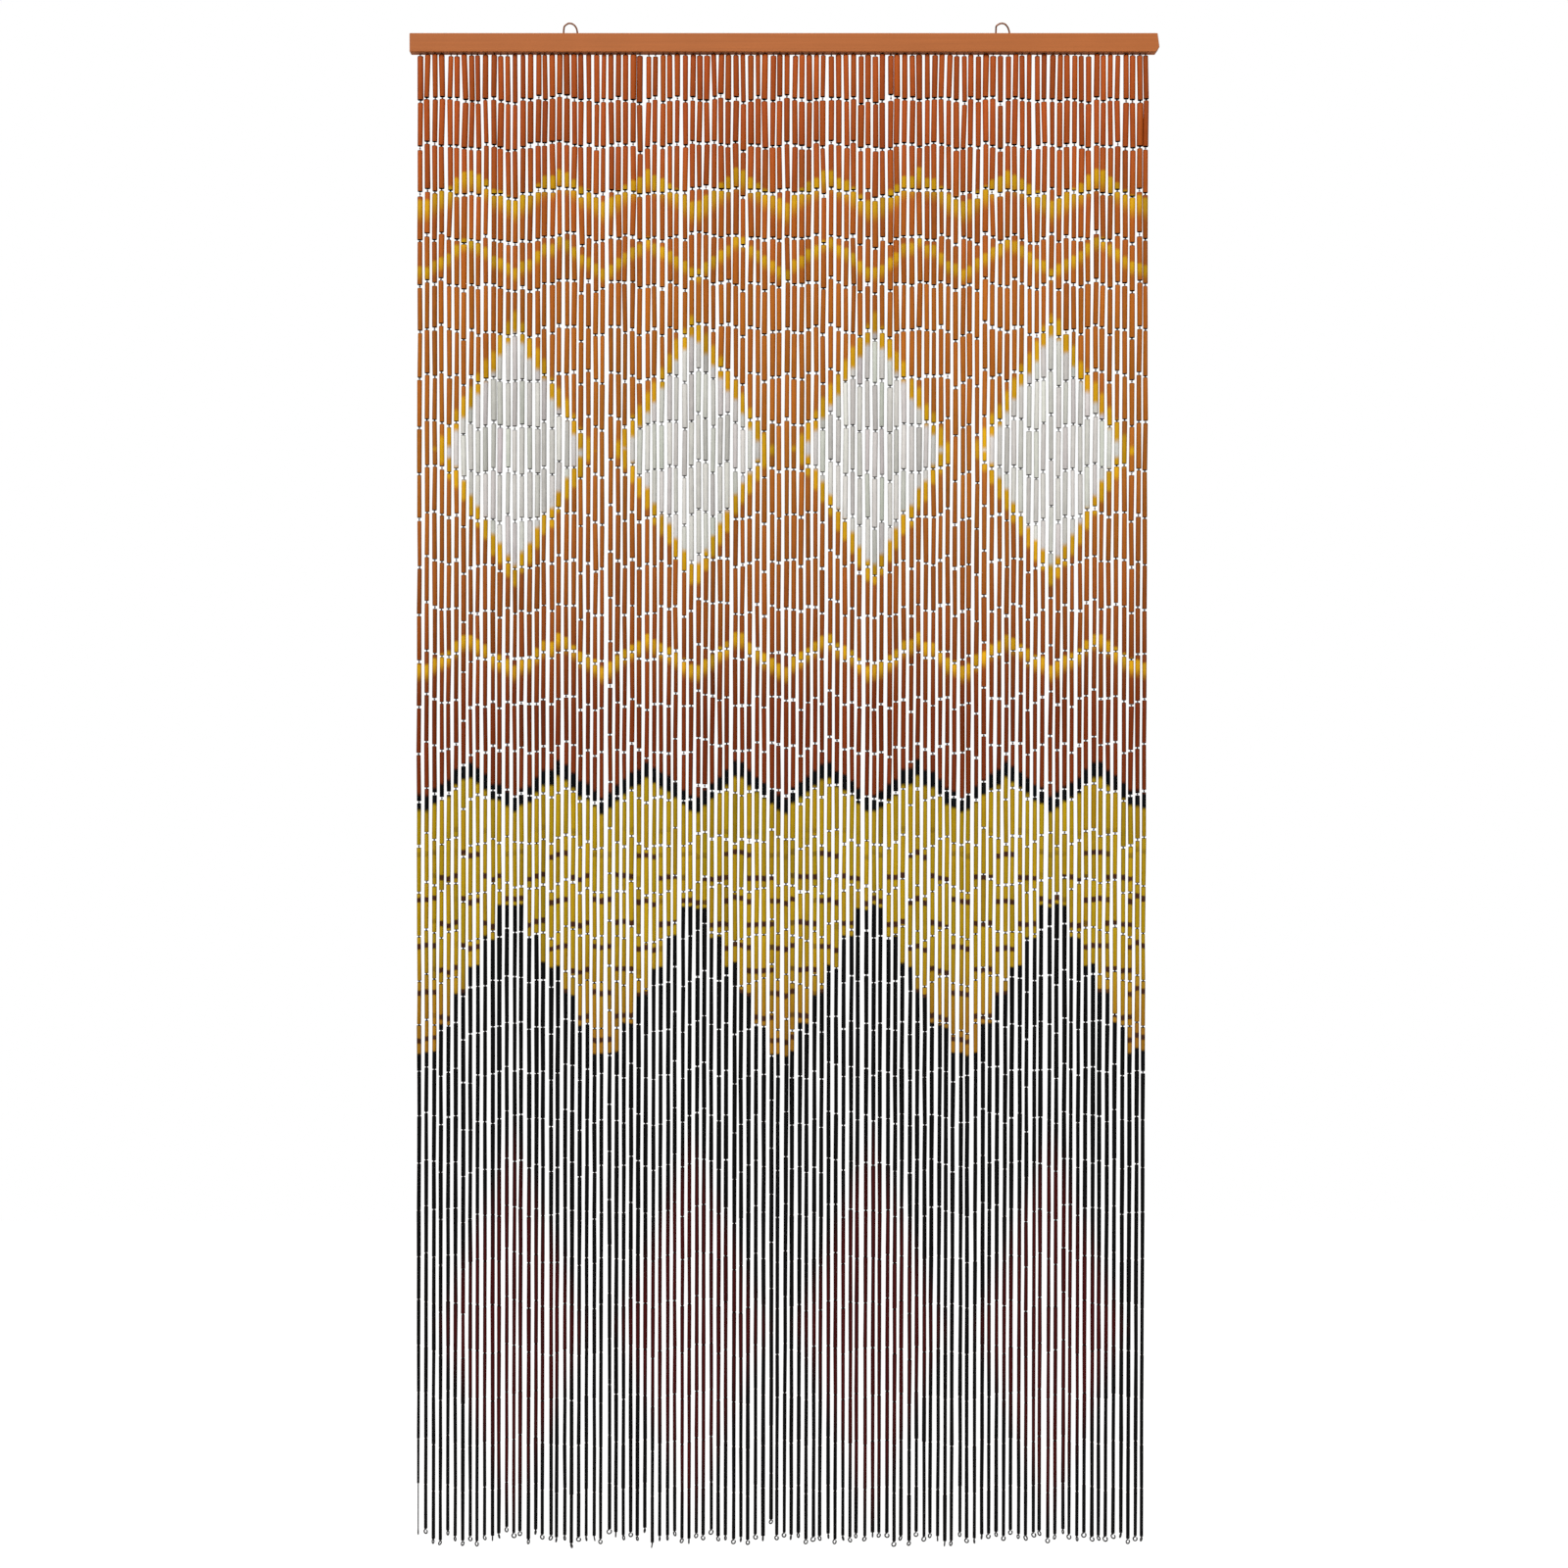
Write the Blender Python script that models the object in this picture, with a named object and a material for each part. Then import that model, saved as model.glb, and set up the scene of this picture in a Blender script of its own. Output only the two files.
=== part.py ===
"""Bamboo door curtain: a painted wooden header rail, two wire hanging eyes and a hundred strings of bamboo.

Units are metres, +Z is up and the curtain's front faces -Y. The origin is midway between the insides of
the two eyes' crowns, where a pair of hooks above a doorway carries the curtain.
"""
import math
from typing import NamedTuple

import bmesh
import bpy
import numpy as np
from mathutils import Vector

# Header rail: a straight batten, whose right end is sawn a little out of square with one corner knocked off
RAIL_LENGTH = 1.000
RAIL_HEIGHT = 0.025
RAIL_DEPTH = 0.016
RAIL_EDGE_BEVEL = 0.0010
RAIL_BEVEL_SEGMENTS = 3
RAIL_END_SLANT = 0.0025
RAIL_END_SLANT_DROP = 0.0185
RAIL_CORNER_CUT = 0.0045

# Hanging eyes: hooped wires whose two legs are pressed into blind holes in the rail's top
WIRE_RADIUS = 0.0010
EYE_RISE = 0.015
EYE_LEG_DEPTH = 0.010
EYE_QUARTER_STEPS = 6


class Eye(NamedTuple):
    """One hooped wire: its place along the rail and the heights at which its two legs start to curve."""

    name: str
    place: float
    half_width: float
    crown_shift: float
    left_leg: float
    right_leg: float


EYES = (
    Eye("hanging_eye_left", -0.2860, 0.0092, -0.0010, 0.0060, 0.0030),
    Eye("hanging_eye_right", 0.2915, 0.0091, -0.0006, 0.0085, 0.0005),
)

# Strands: strings of bamboo tube, thinner towards the foot, each ending in a small wire ring
STRAND_COUNT = 100
STRAND_PITCH = 0.009815
STRAND_ROW_CENTRE = -0.0010
STRAND_NECK_WIDTH = 0.0018
STRAND_NECK_LENGTH = 0.0032
STRAND_NECK_SPREAD = 0.0019
STRAND_SHOULDER = 0.0010
STRAND_DRIFT = -0.0046
STRAND_DRIFT_PER_METRE = -0.0045
STRAND_DRIFT_SPREAD = 0.0005
STRAND_SWAY = 0.00036
STRAND_ROOT_SPREAD = 0.0004
STRAND_SIDE_ROOM = 0.0005
FOOT_DEPTH = 1.9870
FOOT_SPREAD = 0.0052
FOOT_REACH = 0.0110
SPACING_PASSES = 60
SHORT_STRAND = 48
SHORT_STRAND_BY = 0.0210
BARE_STRAND = 0
BARE_WIRE = 0.0600
RING_WIDTH = 0.0064
RING_WIRE = 0.0014
RING_LENGTH = 0.0066
RING_NECK_LENGTH = 0.0020
RING_NECK_WIDTH = 0.0016


class Section(NamedTuple):
    """Strand width at one depth below the rail."""

    depth: float
    width: float


STRAND_SECTIONS = (
    Section(0.000, 0.0072),
    Section(0.300, 0.0065),
    Section(0.800, 0.0055),
    Section(1.350, 0.0049),
    Section(1.960, 0.0041),
)

# Root strip: it lies in a groove in the rail's underside and holds the strands' upper ends
STRIP_DEPTH = 0.0050
STRIP_HEIGHT = 0.0034
STRIP_END = 0.0040
STRIP_ROOT_WIDTH = 0.0020

GAP = 0.0003
HOLE_SIDES = 12
WIRE_SIDES_RESOLUTION = 2
SEED = 100

RAIL_TOP = WIRE_RADIUS - EYE_RISE
RAIL_BOTTOM = RAIL_TOP - RAIL_HEIGHT
STRIP_BOTTOM = RAIL_BOTTOM + GAP
STRIP_TOP = STRIP_BOTTOM + STRIP_HEIGHT
STRIP_LENGTH = STRAND_PITCH * (STRAND_COUNT - 1) + 2 * STRIP_END


def clear_scene() -> None:
    """Remove every object of the open file."""
    for thing in list(bpy.data.objects):
        bpy.data.objects.remove(thing, do_unlink=True)


def finish(name: str, colour: tuple, roughness: float, metallic: float = 0.0) -> bpy.types.Material:
    """A Principled material with one colour, roughness and metallic value."""
    material = bpy.data.materials.new(name)
    material.use_nodes = True
    shader = material.node_tree.nodes["Principled BSDF"]
    shader.inputs["Base Color"].default_value = (*colour, 1.0)
    shader.inputs["Roughness"].default_value = roughness
    shader.inputs["Metallic"].default_value = metallic
    material.diffuse_color = (*colour, 1.0)
    return material


def place_object(name: str, data, material=None) -> bpy.types.Object:
    """Link a new object to the scene and give it its material."""
    thing = bpy.data.objects.new(name, data)
    bpy.context.scene.collection.objects.link(thing)
    if material is not None:
        data.materials.append(material)
    return thing


def mesh_of(name: str, bm: bmesh.types.BMesh) -> bpy.types.Mesh:
    """A mesh datablock from a bmesh, with its faces turned outwards."""
    bmesh.ops.recalc_face_normals(bm, faces=bm.faces)
    mesh = bpy.data.meshes.new(name)
    bm.to_mesh(mesh)
    bm.free()
    return mesh


def box_mesh(name: str, low: tuple, high: tuple) -> bpy.types.Mesh:
    """An upright box between two corners."""
    bm = bmesh.new()
    bmesh.ops.create_cube(bm, size=1.0)
    low, high = Vector(low), Vector(high)
    for vert in bm.verts:
        vert.co = Vector((low[k] + (vert.co[k] + 0.5) * (high[k] - low[k]) for k in range(3)))
    return mesh_of(name, bm)


def drill_mesh(name: str, x: float) -> bpy.types.Mesh:
    """An upright prism that drills one leg's blind hole, standing proud of the rail's top."""
    proud = EYE_RISE
    radius = (WIRE_RADIUS + GAP) / math.cos(math.pi / HOLE_SIDES)
    depth = EYE_LEG_DEPTH + GAP + proud
    bm = bmesh.new()
    bmesh.ops.create_cone(
        bm, cap_ends=True, segments=HOLE_SIDES, radius1=radius, radius2=radius, depth=depth
    )
    bmesh.ops.translate(bm, verts=bm.verts, vec=(x, 0.0, RAIL_TOP + proud - depth / 2))
    return mesh_of(name, bm)


def cut(target: bpy.types.Object, cutter: bpy.types.Object) -> None:
    """Take a cutter's shape out of a target and keep the cutter as a hidden guide."""
    cutter.hide_render = True
    cutter.display_type = "WIRE"
    boolean = target.modifiers.new(cutter.name, "BOOLEAN")
    boolean.operation = "DIFFERENCE"
    boolean.object = cutter


def rail_outline() -> list:
    """The rail's front outline, anticlockwise from its lower left corner."""
    half = RAIL_LENGTH / 2
    return [
        (-half, RAIL_BOTTOM),
        (half - RAIL_CORNER_CUT, RAIL_BOTTOM),
        (half, RAIL_TOP - RAIL_END_SLANT_DROP),
        (half - RAIL_END_SLANT, RAIL_TOP),
        (-half, RAIL_TOP),
    ]


def build_rail(material: bpy.types.Material) -> bpy.types.Object:
    """The batten, with the groove for the root strip and a blind hole for each leg of the eyes."""
    bm = bmesh.new()
    front = bm.faces.new([bm.verts.new((x, -RAIL_DEPTH / 2, z)) for x, z in rail_outline()])
    swept = bmesh.ops.extrude_face_region(bm, geom=[front])
    back = [v for v in swept["geom"] if isinstance(v, bmesh.types.BMVert)]
    bmesh.ops.translate(bm, verts=back, vec=(0.0, RAIL_DEPTH, 0.0))
    rail = place_object("header_rail", mesh_of("header_rail", bm), material)

    bevel = rail.modifiers.new("eased_edges", "BEVEL")
    bevel.width = RAIL_EDGE_BEVEL
    bevel.segments = RAIL_BEVEL_SEGMENTS
    bevel.limit_method = "ANGLE"

    half_length, half_depth = STRIP_LENGTH / 2 + GAP, STRIP_DEPTH / 2 + GAP
    low = (STRAND_ROW_CENTRE - half_length, -half_depth, RAIL_BOTTOM - STRIP_HEIGHT)
    high = (STRAND_ROW_CENTRE + half_length, half_depth, STRIP_TOP + GAP)
    cut(rail, place_object("groove_cutter", box_mesh("groove_cutter", low, high)))
    for eye in EYES:
        for side, label in ((-1, "left"), (1, "right")):
            name = f"{eye.name}_{label}_drill"
            cut(rail, place_object(name, drill_mesh(name, eye.place + side * eye.half_width)))
    return rail


def eye_route(eye: Eye) -> list:
    """The wire's centre line: a straight leg, two quarters of an ellipse that meet at the crown, a straight leg."""
    steps = np.linspace(0.0, math.pi / 2, EYE_QUARTER_STEPS + 1)
    left = [
        (
            eye.crown_shift - (eye.half_width + eye.crown_shift) * math.cos(turn),
            eye.left_leg + (EYE_RISE - eye.left_leg) * math.sin(turn),
        )
        for turn in steps
    ]
    right = [
        (
            eye.crown_shift + (eye.half_width - eye.crown_shift) * math.cos(turn),
            eye.right_leg + (EYE_RISE - eye.right_leg) * math.sin(turn),
        )
        for turn in steps[-2::-1]
    ]
    legs_end = -EYE_LEG_DEPTH
    outline = [(-eye.half_width, legs_end), *left, *right, (eye.half_width, legs_end)]
    return [(eye.place + x, 0.0, RAIL_TOP + rise) for x, rise in outline]


def build_eye(eye: Eye, material: bpy.types.Material) -> bpy.types.Object:
    """One hooped wire, as a round section carried along its centre line."""
    curve = bpy.data.curves.new(eye.name, "CURVE")
    curve.dimensions = "3D"
    curve.bevel_depth = WIRE_RADIUS
    curve.bevel_resolution = WIRE_SIDES_RESOLUTION
    curve.use_fill_caps = True
    route = eye_route(eye)
    spline = curve.splines.new("POLY")
    spline.points.add(len(route) - 1)
    for point, place in zip(spline.points, route):
        point.co = (*place, 1.0)
    return place_object(eye.name, curve, material)


def strand_row() -> np.ndarray:
    """X of the strands' places along the root strip."""
    return STRAND_ROW_CENTRE + STRAND_PITCH * (np.arange(STRAND_COUNT) - (STRAND_COUNT - 1) / 2)


def strand_lines(rng: np.random.Generator) -> tuple:
    """Where every strand hangs, and how deep it reaches.

    Returns the strands' X at each section, an array of strands by sections, their Y in the same layout,
    and the depth of each foot. A strand starts at its place in the even row, drifts a little sideways
    with depth, more so on the right, and sways by a small random amount. Neighbours that come too close
    are pushed apart.
    """
    depths = np.array([s.depth for s in STRAND_SECTIONS])
    widths = np.array([s.width for s in STRAND_SECTIONS])
    share = depths / FOOT_DEPTH
    row = strand_row()
    drift = rng.normal(STRAND_DRIFT, STRAND_DRIFT_SPREAD, STRAND_COUNT) + STRAND_DRIFT_PER_METRE * row
    root = rng.normal(0.0, STRAND_ROOT_SPREAD, STRAND_COUNT)
    sway = rng.normal(0.0, STRAND_SWAY, (2, STRAND_COUNT, len(depths)))
    xs = row[:, None] + root[:, None] + drift[:, None] * share + sway[0]
    ys = sway[1] * share
    room = widths + STRAND_SIDE_ROOM
    for _ in range(SPACING_PASSES):
        short = np.clip(room - np.diff(xs, axis=0), 0.0, None) / 2
        xs[:-1] -= short
        xs[1:] += short
    feet = FOOT_DEPTH + np.clip(rng.normal(0.0, FOOT_SPREAD, STRAND_COUNT), -FOOT_REACH, FOOT_REACH)
    feet[SHORT_STRAND] = FOOT_DEPTH - SHORT_STRAND_BY
    return xs, ys, feet


def square_ring(bm, x: float, y: float, z: float, half_x: float, half_y: float, turn: float = 0.0) -> list:
    """Four corners of a level rectangle about a point, turned about the vertical."""
    corners = ((-half_x, -half_y), (half_x, -half_y), (half_x, half_y), (-half_x, half_y))
    c, s = math.cos(turn), math.sin(turn)
    return [bm.verts.new((x + c * u - s * v, y + s * u + c * v, z)) for u, v in corners]


def bridge(bm, upper: list, lower: list) -> None:
    """Four side faces between two rectangles of corners."""
    for k in range(4):
        n = (k + 1) % 4
        bm.faces.new((upper[k], lower[k], lower[n], upper[n]))


def build_strip(bm) -> list:
    """The root strip, open where each strand leaves it.

    Returns the four corners of every opening, in the order of a strand's corners.
    """
    half_root, half_strip = STRIP_ROOT_WIDTH / 2, STRIP_LENGTH / 2
    centres = strand_row()
    stations = np.stack([centres - half_root, centres + half_root], axis=1).reshape(-1)
    stations = np.concatenate([[STRAND_ROW_CENTRE - half_strip], stations, [STRAND_ROW_CENTRE + half_strip]])
    corners = ((-1, STRIP_BOTTOM), (1, STRIP_BOTTOM), (1, STRIP_TOP), (-1, STRIP_TOP))
    loops = [
        [bm.verts.new((x, side * STRIP_DEPTH / 2, z)) for side, z in corners] for x in stations
    ]
    roots = []
    for k, (near, far) in enumerate(zip(loops, loops[1:])):
        is_root = k % 2 == 1
        for a in range(4):
            b = (a + 1) % 4
            if a == 0 and is_root:
                roots.append([near[0], far[0], far[1], near[1]])
            else:
                bm.faces.new((near[a], near[b], far[b], far[a]))
    bm.faces.new(loops[0])
    bm.faces.new(loops[-1])
    return roots


def build_strand(
    bm, root: list, xs, ys, foot: float, neck: float, turn: float, edge_on: bool, bare: float
) -> None:
    """One strand, from its opening in the root strip down to the ring at its foot.

    Above the ring, a length of bare wire may show where the last tube is missing.
    """
    depths = [s.depth for s in STRAND_SECTIONS]
    top_x, top_y = float(np.mean([v.co.x for v in root])), 0.0

    def at(depth: float) -> tuple:
        return float(np.interp(depth, depths, xs)), float(np.interp(depth, depths, ys))

    ring = root
    x, y = at(0.0)
    half = STRAND_NECK_WIDTH / 2
    for depth, wide, px, py in (
        (neck - STRAND_SHOULDER, half, (top_x + x) / 2, (top_y + y) / 2),
        (neck, STRAND_SECTIONS[0].width / 2, x, y),
    ):
        lower = square_ring(bm, px, py, RAIL_BOTTOM - depth, wide, wide)
        bridge(bm, ring, lower)
        ring = lower
    for section, sx, sy in list(zip(STRAND_SECTIONS, xs, ys))[1:-1]:
        lower = square_ring(bm, sx, sy, RAIL_BOTTOM - section.depth, section.width / 2, section.width / 2)
        bridge(bm, ring, lower)
        ring = lower

    x, y = at(foot)
    last = STRAND_SECTIONS[-1].width / 2
    wide, thin = RING_WIDTH / 2, RING_WIRE / 2
    ring_half = (thin, wide) if edge_on else (wide, thin)
    neck_half = RING_NECK_WIDTH / 2
    body_end = foot - RING_LENGTH - RING_NECK_LENGTH - bare
    levels = [(body_end, last, last, 0.0), (body_end + RING_NECK_LENGTH, neck_half, neck_half, turn)]
    if bare > 0.0:
        levels.append((foot - RING_LENGTH, neck_half, neck_half, turn))
    levels.append((foot - RING_LENGTH / 2, *ring_half, turn))
    levels.append((foot, thin, thin, turn))
    for depth, half_x, half_y, angle in levels:
        lower = square_ring(bm, x, y, RAIL_BOTTOM - depth, half_x, half_y, angle)
        bridge(bm, ring, lower)
        ring = lower
    bm.faces.new(ring)


def build_strands(material: bpy.types.Material) -> bpy.types.Object:
    """The root strip with its hundred strands, as one closed body."""
    rng = np.random.default_rng(SEED)
    xs, ys, feet = strand_lines(rng)
    necks = STRAND_NECK_LENGTH + rng.uniform(-1.0, 1.0, STRAND_COUNT) * STRAND_NECK_SPREAD
    turns = rng.uniform(-math.pi / 4, math.pi / 4, STRAND_COUNT)
    edge_on = rng.random(STRAND_COUNT) < 0.5
    bm = bmesh.new()
    roots = build_strip(bm)
    for k, root in enumerate(roots):
        bare = BARE_WIRE if k == BARE_STRAND else 0.0
        build_strand(bm, root, xs[k], ys[k], feet[k], necks[k], turns[k], bool(edge_on[k]), bare)
    return place_object("bamboo_strands", mesh_of("bamboo_strands", bm), material)


def shade_eyes(eye: bpy.types.Object) -> None:
    """Smooth shading along a round wire."""
    for spline in eye.data.splines:
        spline.use_smooth = True


def main() -> None:
    """Build the rail, its two eyes and the strands."""
    clear_scene()
    painted_wood = finish("painted_wood", (0.485, 0.155, 0.048), 0.5)
    steel_wire = finish("steel_wire", (0.250, 0.160, 0.125), 0.4, 1.0)
    dyed_bamboo = finish("dyed_bamboo", (0.370, 0.085, 0.027), 0.45)
    build_rail(painted_wood)
    for eye in EYES:
        shade_eyes(build_eye(eye, steel_wire))
    build_strands(dyed_bamboo)


main()
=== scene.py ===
"""Looks of a bamboo door curtain: a hundred strings of painted bamboo tube under a painted batten.

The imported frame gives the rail, the hanging eyes and the strands' plain solids. Here the strands become
separate hollow tubes on interlocked wire links. Each link ends in a small eye, and the last one hangs out
as a ring. All lengths are in metres, +Z is up and the curtain's front faces -Y.
"""
import logging
import math
from dataclasses import dataclass
from enum import Enum

import bmesh
import bpy
import numpy as np
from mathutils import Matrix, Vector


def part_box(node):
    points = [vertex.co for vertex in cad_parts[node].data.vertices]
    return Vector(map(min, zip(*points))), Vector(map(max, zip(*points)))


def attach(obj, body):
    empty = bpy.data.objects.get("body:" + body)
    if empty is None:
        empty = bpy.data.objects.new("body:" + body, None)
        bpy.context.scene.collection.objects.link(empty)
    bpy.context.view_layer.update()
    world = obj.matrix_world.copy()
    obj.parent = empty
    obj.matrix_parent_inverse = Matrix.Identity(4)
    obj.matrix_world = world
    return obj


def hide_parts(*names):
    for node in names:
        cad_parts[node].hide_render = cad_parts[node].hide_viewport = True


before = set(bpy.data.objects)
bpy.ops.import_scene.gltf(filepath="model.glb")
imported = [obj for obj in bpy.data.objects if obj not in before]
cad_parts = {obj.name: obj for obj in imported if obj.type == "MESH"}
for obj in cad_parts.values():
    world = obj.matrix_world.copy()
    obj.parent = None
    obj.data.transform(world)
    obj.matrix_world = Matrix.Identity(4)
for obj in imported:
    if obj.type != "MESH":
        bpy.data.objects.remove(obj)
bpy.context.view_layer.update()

LOG = logging.getLogger("door_curtain")
MM = 0.001
BODY = "root"
BAKE_MAP = "OFBake"

Colour = tuple[float, float, float, float]
Socket = bpy.types.NodeSocket
Value = float | tuple[float, ...] | Socket

# Settings that several nodes share: a soft step between two limits, a colour laid over another by a mask,
# and a colour multiplied by another
SOFT_STEP = {"interpolation_type": "SMOOTHSTEP"}
BLEND = {"data_type": "RGBA"}
TINT = {"data_type": "RGBA", "blend_type": "MULTIPLY"}


class Slot(Enum):
    """The record's material slots."""

    RAIL = "painted_wood"
    WIRE = "steel_wire"
    BAMBOO = "dyed_bamboo"


class Paint(Enum):
    """All colours, as sRGB hex values."""

    BRICK = "#A04A1A"
    AMBER = "#A45A18"
    TAN = "#A05C1C"
    RUST = "#8C4816"
    RUSSET = "#6C2A09"
    GREY = "#BFBCB6"
    GOLD = "#BE8C0C"
    OLIVE = "#9B7C08"
    OCHRE = "#8F6212"
    UMBER = "#3E200C"
    SOOT = "#020202"
    MAROON = "#360505"
    # Near black for the saw-cut ends and the bores: partly raw end wood, partly painted shade in the bore
    CUT_END_AND_BORE_SHADE = "#100704"
    RAIL = "#AD6332"
    STEEL = "#3B3835"
    OXIDE = "#14100E"
    EYE = "#8A480E"
    EYE_STEEL = "#865126"
    EYE_OXIDE = "#5E3616"
    FLOOR = "#F4F4F3"
    FLOOR_CLOUD = "#FAFAFA"

    @property
    def rgba(self) -> Colour:
        """The colour as shaders take it."""
        return linear(self.value)


def linear(colour: str) -> Colour:
    """Turn an sRGB hex value, as #RRGGBB, into a linear colour with an alpha of 1."""
    parts = (int(colour[k : k + 2], 16) / 255 for k in (1, 3, 5))
    return (*(p / 12.92 if p <= 0.04045 else ((p + 0.055) / 1.055) ** 2.4 for p in parts), 1.0)


def flat(values: np.ndarray) -> np.ndarray:
    """Lay an array out as the one row of floats that a mesh reads."""
    return np.ascontiguousarray(values, np.float32).reshape(-1)


def put_mesh(
    name: str,
    points: np.ndarray,
    faces: list[np.ndarray],
    material: bpy.types.Material,
    uv: np.ndarray | None = None,
    values: dict[str, np.ndarray] | None = None,
    sharp: float = 50.0,
) -> bpy.types.Object:
    """Make one mesh object from whole arrays.

    Args:
        name: The object's name.
        points: Vertices, an array of N by 3.
        faces: Arrays of faces by corners, each array with its own number of corners.
        material: The finish.
        uv: One pair for each face corner, in the faces' order.
        values: Named numbers for each vertex, read by the material.
        sharp: Edges that turn by more than this many degrees are sharp.

    Returns:
        The new object, linked to the scene.
    """
    corners = np.concatenate([f.reshape(-1) for f in faces]).astype(np.int32)
    counts = np.concatenate([np.full(len(f), f.shape[1]) for f in faces]).astype(np.int32)
    starts = np.concatenate([[0], np.cumsum(counts)[:-1]]).astype(np.int32)
    mesh = bpy.data.meshes.new(name)
    mesh.vertices.add(len(points))
    mesh.vertices.foreach_set("co", flat(points))
    mesh.loops.add(len(corners))
    mesh.loops.foreach_set("vertex_index", corners)
    mesh.polygons.add(len(counts))
    mesh.polygons.foreach_set("loop_start", starts)
    mesh.update(calc_edges=True)
    for key, value in (values or {}).items():
        mesh.attributes.new(key, "FLOAT", "POINT").data.foreach_set("value", flat(value))
    if uv is not None:
        mesh.uv_layers.new(name=BAKE_MAP).uv.foreach_set("vector", flat(uv))
    mesh.shade_smooth()
    mesh.set_sharp_from_angle(angle=math.radians(sharp))
    mesh.materials.append(material)
    thing = bpy.data.objects.new(name, mesh)
    bpy.context.scene.collection.objects.link(thing)
    return thing


def hand_over(piece: bpy.types.Object, slot: Slot, node: str) -> None:
    """Let a piece ride on the curtain, and hide the CAD node that it stands for.

    Args:
        piece: The finished piece, in place.
        slot: Not used.
        node: The node that it stands for, alone or with other pieces.
    """
    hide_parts(node)
    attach(piece, BODY)
    LOG.info("%s: %d faces", piece.name, len(piece.data.polygons))


def unit(vectors: np.ndarray) -> np.ndarray:
    """Scale vectors along the last axis to length one."""
    return vectors / np.linalg.norm(vectors, axis=-1, keepdims=True)


def grid_faces(copies: int, rows: int, sides: int, wrap_rows: bool) -> np.ndarray:
    """Quads of many like grids whose sides close on themselves.

    Args:
        copies: The number of grids, whose points follow each other.
        rows: Rows of points in a grid.
        sides: Points in a row.
        wrap_rows: Whether the last row joins the first one.

    Returns:
        Faces by four corners, copy by copy, row by row.
    """
    row = np.arange(rows if wrap_rows else rows - 1)[:, None]
    side = np.arange(sides)[None, :]
    below, beside = (row + 1) % rows, (side + 1) % sides
    corners = [row * sides + side, below * sides + side, below * sides + beside, row * sides + beside]
    quads = np.stack(corners, axis=-1).reshape(-1, 4)
    return (quads[None] + (np.arange(copies) * rows * sides)[:, None, None]).reshape(-1, 4)


def cells(copies: int, shape: float) -> tuple[np.ndarray, np.ndarray]:
    """Lay out equal upright cells over a texture, one for each copy.

    Args:
        copies: The number of cells needed.
        shape: A cell's height over its width.

    Returns:
        The low corner of every cell, and one cell's width and height.
    """
    columns = max(1, math.ceil(math.sqrt(copies * shape)))
    rows = math.ceil(copies / columns)
    at = np.arange(copies)
    corner = np.stack([(at % columns) / columns, (at // columns) / rows], axis=-1)
    return corner, np.array([1 / columns, 1 / rows])


def grid_uv(copies: int, sides: int, along: np.ndarray, shape: float, edge: float = 0.06) -> np.ndarray:
    """Give every copy of a grid its own cell of the texture, with its sides evenly over the cell's width.

    Args:
        copies: The number of grids.
        sides: Faces in a row.
        along: The place of each row line over the cell's height, 0 to 1, one more than the face rows.
        shape: A cell's height over its width.
        edge: Share of a cell that is left free round its rim.

    Returns:
        A pair for each corner of each quad, in the order of grid_faces.
    """
    corner, size = cells(copies, shape)
    across = np.linspace(0, 1, sides + 1)
    row, side = np.meshgrid(np.arange(len(along) - 1), np.arange(sides), indexing="ij")
    u = np.stack([across[side], across[side], across[side + 1], across[side + 1]], axis=-1)
    v = np.stack([along[row], along[row + 1], along[row + 1], along[row]], axis=-1)
    pairs = edge / 2 + (1 - edge) * np.stack([u, v], axis=-1)
    return (corner[:, None, None, None, :] + pairs[None] * size).reshape(-1, 2)


class Graph:
    """A shader node tree that is written down node by node."""

    def __init__(self, tree: bpy.types.NodeTree) -> None:
        """Start from an emptied tree."""
        self.tree = tree
        tree.nodes.clear()

    def add(self, kind: str, *values: Value, out: str = "", **named: object) -> Socket | None:
        """Add one node with its settings and links.

        Args:
            kind: The node's type, without the prefix ShaderNode where it has that.
            values: Numbers, colours or linked outputs for the inputs in use, in their order.
            out: The wanted output's name, or nothing for the first one in use.
            named: Inputs by name, with a capital letter and underscores for spaces, and the node's own
                settings in small letters.

        Returns:
            The output's socket, which knows its node, or None for a node without outputs.
        """
        node = self.tree.nodes.new(kind if kind.startswith("NodeGroup") else "ShaderNode" + kind)
        for key in [key for key in named if key.islower()]:
            setattr(node, key, named.pop(key))
        pairs = list(zip([socket for socket in node.inputs if socket.enabled], values))
        pairs += [(node.inputs[key.replace("_", " ")], value) for key, value in named.items()]
        for socket, value in pairs:
            if isinstance(value, Socket):
                self.tree.links.new(value, socket)
            else:
                socket.default_value = value
        return node.outputs[out] if out else next((s for s in node.outputs if s.enabled), None)

    def vary(self, value: Value, *patterns: tuple[Socket, float]) -> Socket:
        """Move a value up and down by patterns, each of which swings evenly about nought.

        Args:
            value: The value so far.
            patterns: Linked patterns from 0 to 1, each with its whole swing.

        Returns:
            The varied value's socket.
        """
        for pattern, swing in patterns:
            change = self.add("Math", pattern, swing, -swing / 2, operation="MULTIPLY_ADD")
            value = self.add("Math", value, change, operation="ADD")
        return value


def new_material(name: str) -> tuple[bpy.types.Material, Graph, Socket]:
    """Make an empty node material.

    Args:
        name: Its name.

    Returns:
        The material, the graph to fill it with, and the graph's Object coordinates.
    """
    material = bpy.data.materials.new(name)
    material.use_nodes = True
    graph = Graph(material.node_tree)
    return material, graph, graph.add("TexCoord", out="Object")


@dataclass(frozen=True)
class Ombre:
    """The ground colour at one depth below the rail."""

    depth: float
    paint: Paint


@dataclass(frozen=True)
class Zigzag:
    """A painted zigzag, by the depth of its upper points, its fall to the lower ones and its line's width."""

    depth: float
    swing: float
    width: float


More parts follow.
